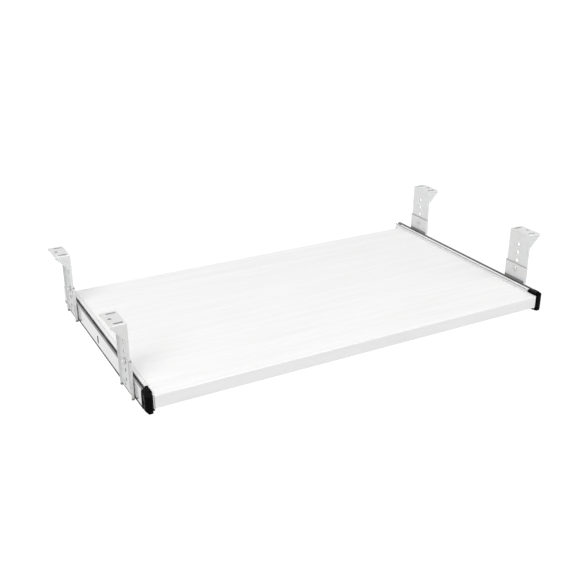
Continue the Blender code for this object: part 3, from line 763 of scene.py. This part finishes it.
def build_angle(name, side, looks):
    """The strip that stands beside the tray and turns under it."""
    middle = 0.9 * MM
    bottom = ANGLE_LOW.z + ANGLE_SHEET / 2
    bend = 1.4 * MM
    line = [(middle, ANGLE_HIGH.z)]
    line += arc((middle - bend, bottom + bend), bend, 0, -90, 8)
    line.append((ANGLE_LOW.x, bottom))
    shape = prism(ribbon(line, ANGLE_SHEET), ANGLE_LOW.y, ANGLE_HIGH.y, "Y")
    ledge_start = TRAY_FRONT + 19.5 * MM
    ledge = block(
        (middle, ledge_start, ANGLE_HIGH.z - ANGLE_SHEET),
        (ANGLE_HIGH.x, ANGLE_HIGH.y - 12 * MM, ANGLE_HIGH.z),
    )
    hole_radius = 2.1 * MM
    rear_hole = (middle, ANGLE_HIGH.y - 2.5 * MM - hole_radius, TRAY_TOP - 4.5 * MM)
    # the hole's wall is painted near black, as shade inside it
    cuts = [(rod(rear_hole, hole_radius, 2 * ANGLE_SHEET, "X"), looks["hole_shade"])]
    cuts.append(
        block(
            (-2 * MM, ANGLE_LOW.y - MM, TRAY_TOP),
            (3.5 * MM, ledge_start, TRAY_TOP + 5 * MM),
        )
    )
    cuts.append(
        block(
            (ANGLE_LOW.x - MM, ANGLE_LOW.y - MM, ANGLE_LOW.z - MM),
            (-1.6 * MM, TRAY_FRONT + 10 * MM, TRAY_BOTTOM - 0.15 * MM),
        )
    )
    for _, out, along, _ in screw_places(side):
        cuts.append(rod((out, along, bottom), 2.1 * MM, 2 * ANGLE_SHEET, "Z", 24))
    slot_half_length = 7 * MM
    slot_half_width = 2.1 * MM
    for share in (0.22, 0.5, 0.78):
        along = ANGLE_LOW.y + share * (ANGLE_HIGH.y - ANGLE_LOW.y)
        slot = (ANGLE_LOW.x + 6.5 * MM, along, bottom)
        cuts.append(stadium(slot, slot_half_length, slot_half_width, 2 * ANGLE_SHEET, "Y", "Z"))
    make_piece(
        f"{name}_tray_strip", shape, side, looks["angle"], "tray",
        [f"{name}_tray_angle"], joins=[ledge], cuts=cuts, edge=0.2 * MM,
    )


def build_tray_screws(name, side, looks):
    """Pan-head wood screws driven up through the strip into the tray."""
    head_radius = 3.9 * MM
    head_height = 2.1 * MM
    shank = 1.8 * MM
    for number, (node, out, along, low) in enumerate(screw_places(side), start=1):
        seat = low + head_height
        profile = domed_head(head_radius, head_height, low, 0.7)
        profile += [(head_radius, seat - 0.12 * MM), (head_radius - 0.15 * MM, seat)]
        profile.append((shank, seat))
        profile += threaded(shank, seat + 2 * MM, seat + 10 * MM, 1.2 * MM, 0.45 * MM)
        profile.append((0, seat + 13 * MM))
        shape = turned(profile, 36, "Z", (out, along, 0))
        recess = cross_recess((out, along, low), 2.2 * MM, 0.55 * MM, 1.4 * MM, "Z", -1)
        make_piece(
            f"{name}_wood_screw_{number}", shape, side, looks["fastener"], "tray",
            [node], cuts=[recess],
        )


# ---------------------------------------------------------------- the slides


def build_outer_rail(name, side, looks):
    web = OUTER_HIGH.x - RAIL_SHEET / 2
    top = OUTER_HIGH.z - RAIL_SHEET / 2
    bottom = OUTER_LOW.z + RAIL_SHEET / 2
    corner = 0.7 * MM
    lip = OUTER_LOW.x + RAIL_SHEET / 2
    lip_bend = 0.9 * MM
    lip_length = 2.1 * MM
    line = [(lip, top - lip_length)]
    line += arc((lip + lip_bend, top - lip_bend), lip_bend, 180, 90, 6)
    line += arc((web - corner, top - corner), corner, 90, 0, 8)
    line += arc((web - corner, bottom + corner), corner, 0, -90, 8)
    line += arc((lip + lip_bend, bottom + lip_bend), lip_bend, -90, -180, 6)
    line.append((lip, bottom + lip_length))
    shape = prism(ribbon(line, RAIL_SHEET), OUTER_LOW.y, OUTER_HIGH.y, "Y")

    slot_place = (web, OUTER_LOW.y + 177 * MM, SLIDE_MIDDLE + 0.7 * MM)
    # the walls of the slot, holes and window are painted near black, as shade inside them
    walls = looks["hole_shade"]
    cuts = [(stadium(slot_place, 5.9 * MM, 2.6 * MM, MM, "Z", "X"), walls)]
    low_row = SLIDE_MIDDLE - 11.6 * MM
    for along in (128 * MM, 149.5 * MM, 173 * MM):
        hole = rod((web, OUTER_LOW.y + along, low_row), 1.5 * MM, MM, "X", 24)
        cuts.append((hole, walls))
    window = (web, OUTER_LOW.y + 92 * MM, low_row)
    cuts.append((stadium(window, 14 * MM, 1.0 * MM, MM, "Y", "X"), walls))
    make_piece(
        f"{name}_fixed_rail", shape, side, looks["rail"], "hanging_frame",
        [f"{name}_outer_rail"], cuts=cuts, edge=0.15 * MM,
    )


def build_inner_rail(name, side, looks):
    web = INNER_LOW.x + RAIL_SHEET / 2
    top = INNER_HIGH.z - RAIL_SHEET / 2
    bottom = INNER_LOW.z + RAIL_SHEET / 2
    corner = 1.2 * MM
    hollow = 1.0 * MM
    lip = INNER_HIGH.x
    line = [(lip, top), (lip - hollow, top)]
    line += arc((web + corner, top - corner), corner, 90, 180, 6)
    line += arc((web + corner, bottom + corner), corner, 180, 270, 6)
    line += [(lip - hollow, bottom), (lip, bottom)]
    shape = prism(ribbon(line, RAIL_SHEET), INNER_LOW.y, INNER_HIGH.y, "Y")
    dimples = bmesh.new()
    weld_depth = 0.2 * MM
    for share in (0.08, 0.30, 0.52, 0.74, 0.94):
        along = INNER_LOW.y + share * (INNER_HIGH.y - INNER_LOW.y)
        weld = (web + RAIL_SHEET / 2, along, SLIDE_MIDDLE)
        rod(weld, 2.4 * MM, weld_depth, "X", 32, dimples)
    make_piece(
        f"{name}_moving_rail", shape, side, looks["rail_inner"], "tray",
        [f"{name}_inner_rail"], cuts=[dimples], edge=0.15 * MM,
    )


def build_ball_cage(name, side, looks):
    """A bent strip with a pocket for each ball, and the balls in it."""
    ball_radius = 1.6 * MM
    ball_out = 8.6 * MM
    count = 7
    pitch = (CAGE_HIGH.y - CAGE_LOW.y) / count
    ball_up = CAGE_HIGH.z - SLIDE_MIDDLE - ball_radius
    web = CAGE_HIGH.x - CAGE_SHEET / 2
    corner = 0.8 * MM
    flange_end = 7.3 * MM
    line = [(flange_end, SLIDE_MIDDLE + ball_up)]
    line += arc((web - corner, SLIDE_MIDDLE + ball_up - corner), corner, 90, 0, 6)
    line += arc((web - corner, SLIDE_MIDDLE - ball_up + corner), corner, 0, -90, 6)
    line.append((flange_end, SLIDE_MIDDLE - ball_up))
    shape = prism(ribbon(line, CAGE_SHEET), CAGE_LOW.y, CAGE_HIGH.y, "Y")
    pockets = bmesh.new()
    balls = bmesh.new()
    for number in range(count):
        along = CAGE_LOW.y + (number + 0.5) * pitch
        for row in (-1, 1):
            centre = Vector((ball_out, along, SLIDE_MIDDLE + row * ball_up))
            rod(centre, ball_radius + 0.12 * MM, MM, "Z", 32, pockets)
            bmesh.ops.create_uvsphere(
                balls, u_segments=24, v_segments=14, radius=ball_radius,
                matrix=Matrix.Translation(centre),
            )
    windows = bmesh.new()
    for number in range(count - 1):
        along = CAGE_LOW.y + (number + 1) * pitch
        stadium((web, along, SLIDE_MIDDLE), 5.5 * MM, 2.4 * MM, MM, "Z", "X", windows)
    make_piece(
        f"{name}_cage_strip", shape, side, looks["bearing"], f"{name}_ball_cage",
        [f"{name}_ball_cage"], cuts=[pockets, windows], edge=0.06 * MM, edge_segments=1,
    )
    make_piece(
        f"{name}_cage_balls", balls, side, looks["bearing"], f"{name}_ball_cage",
        [],
    )


def build_buffer(name, side, looks):
    """The moulded stop at the back of the fixed rail, ribbed on its front."""
    shape = block(BUFFER_LOW, BUFFER_HIGH)
    grooves = bmesh.new()
    for step in (-2, -1, 0, 1, 2):
        up = SLIDE_MIDDLE + step * 2.4 * MM
        low = (BUFFER_LOW.x - MM, BUFFER_LOW.y - MM, up - 0.4 * MM)
        high = (BUFFER_HIGH.x + MM, BUFFER_LOW.y + 0.8 * MM, up + 0.4 * MM)
        block(low, high, grooves)
    make_piece(
        f"{name}_rail_stop", shape, side, looks["plastic"], "hanging_frame",
        [f"{name}_rear_buffer"], cuts=[grooves], first_edge=(1.1 * MM, 4), edge=0.12 * MM,
    )


def build_front_cap(name, side, looks):
    """The moulded cap over the front of the moving rail."""
    outer = CAP_HIGH.x
    rear = TRAY_FRONT + 13.7 * MM
    nose = CAP_LOW.y
    outer_turn = 4.6 * MM
    inner_face = 2.0 * MM
    shoulder = 2.5 * MM
    inner_turn = 1.8 * MM
    top_slant = 3.0 * MM
    bottom_slant = 3.9 * MM
    plan = [(outer, rear)]
    plan += arc((outer - outer_turn, nose + outer_turn), outer_turn, 0, -90, 12)
    plan += arc((shoulder + inner_turn, nose + inner_turn), inner_turn, -90, -180, 8)
    plan += [(inner_face, nose + 2 * inner_turn), (inner_face, rear)]
    shape = prism(plan, CAP_LOW.z, CAP_HIGH.z, "Z")
    cut_away(shape, (0, TRAY_FRONT + 5 * MM, CAP_HIGH.z), (0, -0.64, 0.77))
    cut_away(shape, (outer, 0, CAP_HIGH.z - top_slant), (1, 0, 1))
    cut_away(shape, (outer, 0, CAP_LOW.z + bottom_slant), (1, 0, -1))

    lug = block(
        (inner_face, TRAY_FRONT + 3.5 * MM, TRAY_TOP + 0.3 * MM),
        (5.2 * MM, TRAY_FRONT + 19 * MM, CAP_HIGH.z - 0.2 * MM),
    )
    foot = block(
        (CAP_LOW.x, TRAY_FRONT + 3 * MM, TRAY_TOP - 22.4 * MM),
        (3.2 * MM, TRAY_FRONT + 8 * MM, TRAY_TOP - 19.8 * MM),
    )
    room_for_strip = block(
        (0, TRAY_FRONT + 1.1 * MM, TRAY_TOP - 19.5 * MM),
        (1.8 * MM, TRAY_FRONT + 20 * MM, TRAY_TOP + 4.3 * MM),
    )
    panel = Vector((outer, TRAY_FRONT + 8.4 * MM, TRAY_TOP - 8.8 * MM))
    sunk_panel = stadium(panel, 10.6 * MM, 3.9 * MM, 0.7 * MM, "Z", "X")
    hole_place = panel - Vector((0, 0, 2.2 * MM))
    hole = stadium(hole_place, 3.3 * MM, 2.2 * MM, 2.6 * MM, "Z", "X")
    make_piece(
        f"{name}_end_cap", shape, side, looks["plastic"], "tray",
        [f"{name}_front_cap"], joins=[lug, foot], cuts=[room_for_strip, sunk_panel, hole],
        first_edge=(0.9 * MM, 4), edge=0.22 * MM, edge_segments=3,
    )


# ---------------------------------------------------------------- the brackets


def bolt_height(row):
    low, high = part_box(f"{row}_right_clamp_bolt")
    return (low.z + high.z) / 2


def build_upper_bracket(row, name, side, looks):
    """A folded channel, open outwards, whose flanges widen into gussets under its top."""
    low, high = out_box(f"{row}_right_upper_bracket")
    along = (low.y + high.y) / 2
    half = BRACKET_SHEET / 2
    reach = (high.y - low.y) / 2 - half
    web = low.x + half
    top = high.z - half
    flange_out = 16.8 * MM
    gusset_bottom = -22 * MM
    gusset_tip = -3 * MM
    round_end = 2.0 * MM
    flange = [(web, low.z), (flange_out - round_end, low.z)]
    flange += arc((flange_out - round_end, low.z + round_end), round_end, -90, 0, 4)[1:]
    flange += [(flange_out, gusset_bottom), (high.x, gusset_tip), (high.x, top), (web, top)]
    corners, near, far = channel_flanges(flange, along, reach)
    faces = [
        near,
        far,
        (near[0], near[-1], far[-1], far[0]),
        (near[-1], near[-2], far[-2], far[-1]),
    ]
    bends = [(near[0], near[-1]), (far[0], far[-1]), (near[-1], far[-1])]
    bends += [(near[-1], near[-2]), (far[-1], far[-2])]
    shape = sheet_metal(corners, faces, bends, 0.65 * MM)

    hole_pitch = 13.2 * MM
    hole_radius = 2.75 * MM
    column = bmesh.new()
    for step in range(-2, 4):
        up = bolt_height(row) + step * hole_pitch
        rod((web, along, up), hole_radius, THROUGH / 2, "X", 32, column)
    desk_cuts = bmesh.new()
    for direction in (-1, 1):
        slot = (22.6 * MM, along + direction * 14.8 * MM, top)
        stadium(slot, 6.2 * MM, 2.0 * MM, THROUGH / 2, "X", "Z", desk_cuts)
    rod((28.4 * MM, along, top), 2.5 * MM, THROUGH / 2, "Z", 32, desk_cuts)
    thicker_top = block(
        (web, along - reach, high.z - TOP_PLATE_SHEET), (high.x, along + reach, high.z - half)
    )
    make_piece(
        f"{row}_{name}_hanger", shape, side, looks["bracket"], "hanging_frame",
        [f"{row}_{name}_upper_bracket"], joins=[thicker_top],
        cuts=[(column, looks["cut"]), (desk_cuts, looks["cut"])],
        thickness=BRACKET_SHEET, edge=0.14 * MM,
    )


def build_lower_bracket(row, name, side, looks):
    """The shorter channel between the hanger and the rail, hooked in under the rail."""
    low, high = out_box(f"{row}_right_lower_bracket")
    along = (low.y + high.y) / 2
    half = BRACKET_SHEET / 2
    reach = (high.y - low.y) / 2 - half
    hook_reach = reach - 3.5 * MM
    web = out_box(f"{row}_right_clamp_bolt")[0].x + 2.3 * MM + half
    foot = low.z + half
    flange_out = high.x
    round_end = 1.8 * MM
    flange = [(web, foot), (flange_out - round_end, foot)]
    flange += arc((flange_out - round_end, foot + round_end), round_end, -90, 0, 4)[1:]
    flange += arc((flange_out - round_end, high.z - round_end), round_end, 0, 90, 4)
    flange.append((web, high.z))
    corners, near, far = channel_flanges(flange, along, reach)
    hook = len(corners)
    corners += [(web, along - hook_reach, foot), (web, along + hook_reach, foot)]
    corners += [(low.x, along + hook_reach, foot), (low.x, along - hook_reach, foot)]
    faces = [
        near,
        far,
        (near[0], near[-1], far[-1], far[0], hook + 1, hook),
        (hook, hook + 1, hook + 2, hook + 3),
    ]
    bends = [(near[0], near[-1]), (far[0], far[-1]), (hook, hook + 1)]
    shape = sheet_metal(corners, faces, bends, 0.8 * MM)

    bolt_hole = rod((web, along, bolt_height(row)), 2.8 * MM, THROUGH / 2, "X")
    make_piece(
        f"{row}_{name}_rail_holder", shape, side, looks["holder"], "hanging_frame",
        [f"{row}_{name}_lower_bracket"], cuts=[bolt_hole],
        thickness=BRACKET_SHEET, edge=0.14 * MM,
    )


def build_clamp(row, name, side, looks):
    """The cross-head bolt and its nut, which set the height."""
    low, high = out_box(f"{row}_right_clamp_bolt")
    along = (low.y + high.y) / 2
    up = (low.z + high.z) / 2
    head_radius = (high.z - low.z) / 2
    head_height = 2.0 * MM
    shank = 2.5 * MM
    seat = low.x + head_height
    profile = domed_head(head_radius, head_height, low.x, 0.6)
    profile += [(head_radius, seat - 0.15 * MM), (head_radius - 0.15 * MM, seat), (shank, seat)]
    profile += threaded(shank, seat + 1.8 * MM, high.x - 0.6 * MM, 0.8 * MM, 0.3 * MM)
    profile += [(shank - 0.6 * MM, high.x), (0, high.x)]
    shape = turned(profile, 40, "X", (0, along, up))
    recess = cross_recess((low.x, along, up), 2.4 * MM, 0.6 * MM, 1.4 * MM, "X", -1)
    make_piece(
        f"{row}_{name}_bolt", shape, side, looks["fastener"], "hanging_frame",
        [f"{row}_{name}_clamp_bolt"], cuts=[recess],
    )

    nut_low, nut_high = out_box(f"{row}_right_clamp_nut")
    nut_radius = (nut_high.y - nut_low.y) / 2
    nut_middle = ((nut_low.x + nut_high.x) / 2, along, up)
    hexagon = [(along + a, up + b) for a, b in arc((0, 0), nut_radius, 0, 300, 5)]
    shape = prism(hexagon, nut_low.x, nut_high.x, "X")
    chamfer = 0.5 * MM
    flat_radius = 0.88 * nut_radius
    clear_radius = 1.02 * nut_radius
    profile = [
        (0, nut_low.x - chamfer),
        (flat_radius, nut_low.x - chamfer),
        (flat_radius, nut_low.x),
        (clear_radius, nut_low.x + chamfer),
        (clear_radius, nut_high.x - chamfer),
        (flat_radius, nut_high.x),
        (flat_radius, nut_high.x + chamfer),
        (0, nut_high.x + chamfer),
    ]
    keep = turned(profile, 48, "X", (0, along, up))
    nut = plain_object(f"{row}_{name}_nut_blank", to_side(shape, side))
    keep = plain_object(f"{row}_{name}_nut_keep", to_side(keep, side))
    add_modifier(nut, "BOOLEAN", operation="INTERSECT", solver="EXACT", object=keep)
    settle(nut)
    chamfered = bmesh.new()
    chamfered.from_mesh(nut.data)
    bpy.data.objects.remove(nut)
    bpy.data.objects.remove(keep)
    bore = to_side(rod(nut_middle, shank + 0.1 * MM, 3 * MM, "X"), side)
    make_piece(
        f"{row}_{name}_nut", chamfered, 0, looks["fastener"], "hanging_frame",
        [f"{row}_{name}_clamp_nut"], cuts=[bore], edge=0.1 * MM,
    )


def build_rivets(row, name, side, looks):
    """The two domed rivets that hold the rail to its bracket."""
    for end in ("front", "rear"):
        low, high = out_box(f"{row}_right_{end}_rivet")
        along = (low.y + high.y) / 2
        up = (low.z + high.z) / 2
        radius = (high.z - low.z) / 2
        head_height = 1.2 * MM
        shank = 2.0 * MM
        seat = high.x - head_height
        rim = seat + 0.1 * MM
        dome = head_height - 0.1 * MM
        profile = [(0, low.x), (shank - 0.2 * MM, low.x), (shank, low.x + 0.2 * MM), (shank, seat)]
        profile += [(radius - 0.1 * MM, seat), (radius, rim)]
        for angle in range(80, 0, -10):
            turn = math.radians(angle)
            profile.append((radius * math.sin(turn), rim + dome * math.cos(turn)))
        profile.append((0, high.x))
        shape = turned(profile, 36, "X", (0, along, up))
        make_piece(
            f"{row}_{name}_{end}_dome", shape, side, looks["fastener"], "hanging_frame",
            [f"{row}_{name}_{end}_rivet"],
        )


# ---------------------------------------------------------------- the studio


def build_floor():
    size = FLOOR_HALF_SIZE
    shape = bmesh.new()
    corners = [(-size, -size), (size, -size), (size, size), (-size, size)]
    shape.faces.new([shape.verts.new((x, y, FLOOR_HEIGHT)) for x, y in corners])
    mesh = bpy.data.meshes.new("floor")
    shape.to_mesh(mesh)
    shape.free()
    floor = bpy.data.objects.new("floor", mesh)
    bpy.context.scene.collection.objects.link(floor)
    mesh.materials.append(floor_paint())


def away_from_tray(azimuth, elevation):
    """The direction of a place seen from the tray: azimuth 0 is in front, 90 on the right."""
    a = math.radians(azimuth)
    e = math.radians(elevation)
    return Vector((math.sin(a) * math.cos(e), -math.cos(a) * math.cos(e), math.sin(e)))


def softbox(name, azimuth, elevation, distance, size, power):
    """A square area light that faces the tray; azimuth and elevation as for the camera."""
    light = bpy.data.lights.new(name, "AREA")
    light.shape = "SQUARE"
    light.size = size
    light.energy = power
    obj = bpy.data.objects.new(name, light)
    away = away_from_tray(azimuth, elevation)
    obj.location = away * distance
    obj.rotation_euler = (-away).to_track_quat("-Z", "Y").to_euler()
    bpy.context.scene.collection.objects.link(obj)


def build_world():
    """A white sweep up to a little above the horizon, and the dark studio over it."""
    world = bpy.data.worlds.new("studio")
    bpy.context.scene.world = world
    world.use_nodes = True
    nodes = Nodes(world.node_tree)
    background = world.node_tree.nodes["Background"]
    direction = nodes.add("ShaderNodeTexCoord").outputs["Generated"]
    parts = nodes.add("ShaderNodeSeparateXYZ", {"Vector": direction}).outputs
    sweep_top = 0.35
    sweep_tilt = 0.12
    edge = 0.035
    above = nodes.minus(parts["Z"], nodes.times(parts["X"], sweep_tilt))
    dark = nodes.ramp(above, sweep_top - edge, sweep_top + edge)
    shade = nodes.mix(dark, grey(1.0), grey(0.30))
    seen = nodes.add("ShaderNodeLightPath").outputs["Is Camera Ray"]
    nodes.set(background.inputs["Color"], nodes.mix(seen, shade, grey(1.0)))
    background.inputs["Strength"].default_value = 1.0


def build_camera():
    away = away_from_tray(CAMERA_AZIMUTH, CAMERA_ELEVATION)
    pitch = math.pi / 2 - math.radians(CAMERA_ELEVATION)
    data = bpy.data.cameras.new("camera")
    data.lens = LENS
    data.sensor_width = SENSOR
    data.clip_start = 0.01
    data.clip_end = 200.0
    camera = bpy.data.objects.new("camera", data)
    camera.location = CAMERA_TARGET + away * CAMERA_DISTANCE
    camera.rotation_euler = (pitch, 0, math.radians(CAMERA_AZIMUTH))
    bpy.context.scene.collection.objects.link(camera)
    bpy.context.scene.camera = camera


def build_studio():
    build_camera()
    build_floor()
    build_world()
    softbox("overhead", 0, 84, 2.4, 2.2, 40)
    softbox("key", -55, 40, 2.6, 1.4, 22)
    softbox("fill", 40, 25, 3.0, 1.6, 14)
    view = bpy.context.scene.view_settings
    view.view_transform = "Standard"
    view.look = "None"


# ---------------------------------------------------------------- the whole drawer


def build():
    # the rail holders' upper edge, along which their material paints a shadow line
    holder_shadow_line_height = out_box("front_right_lower_bracket")[1].z
    looks = {
        "melamine": melamine(),
        "band": edge_band(),
        "core": board_core(),
        "rail": rail_zinc(),
        "rail_inner": plated("bright_zinc_inner_rail", 0.84, 0.20)[0],
        "angle": angle_zinc(),
        "bracket": bracket_steel(),
        "holder": bracket_steel("bracket_steel_shadow_lines", holder_shadow_line_height),
        "cut": cut_steel(),
        "hole_shade": painted_hole_shade(),
        "fastener": fastener_steel(),
        "bearing": ball_steel(),
        "plastic": black_plastic(),
    }
    build_tray(looks)
    for name, side in SIDES:
        build_angle(name, side, looks)
        build_tray_screws(name, side, looks)
        build_outer_rail(name, side, looks)
        build_inner_rail(name, side, looks)
        build_ball_cage(name, side, looks)
        build_buffer(name, side, looks)
        build_front_cap(name, side, looks)
        for row in ROWS:
            build_upper_bracket(row, name, side, looks)
            build_lower_bracket(row, name, side, looks)
            build_clamp(row, name, side, looks)
            build_rivets(row, name, side, looks)
    build_studio()


build()
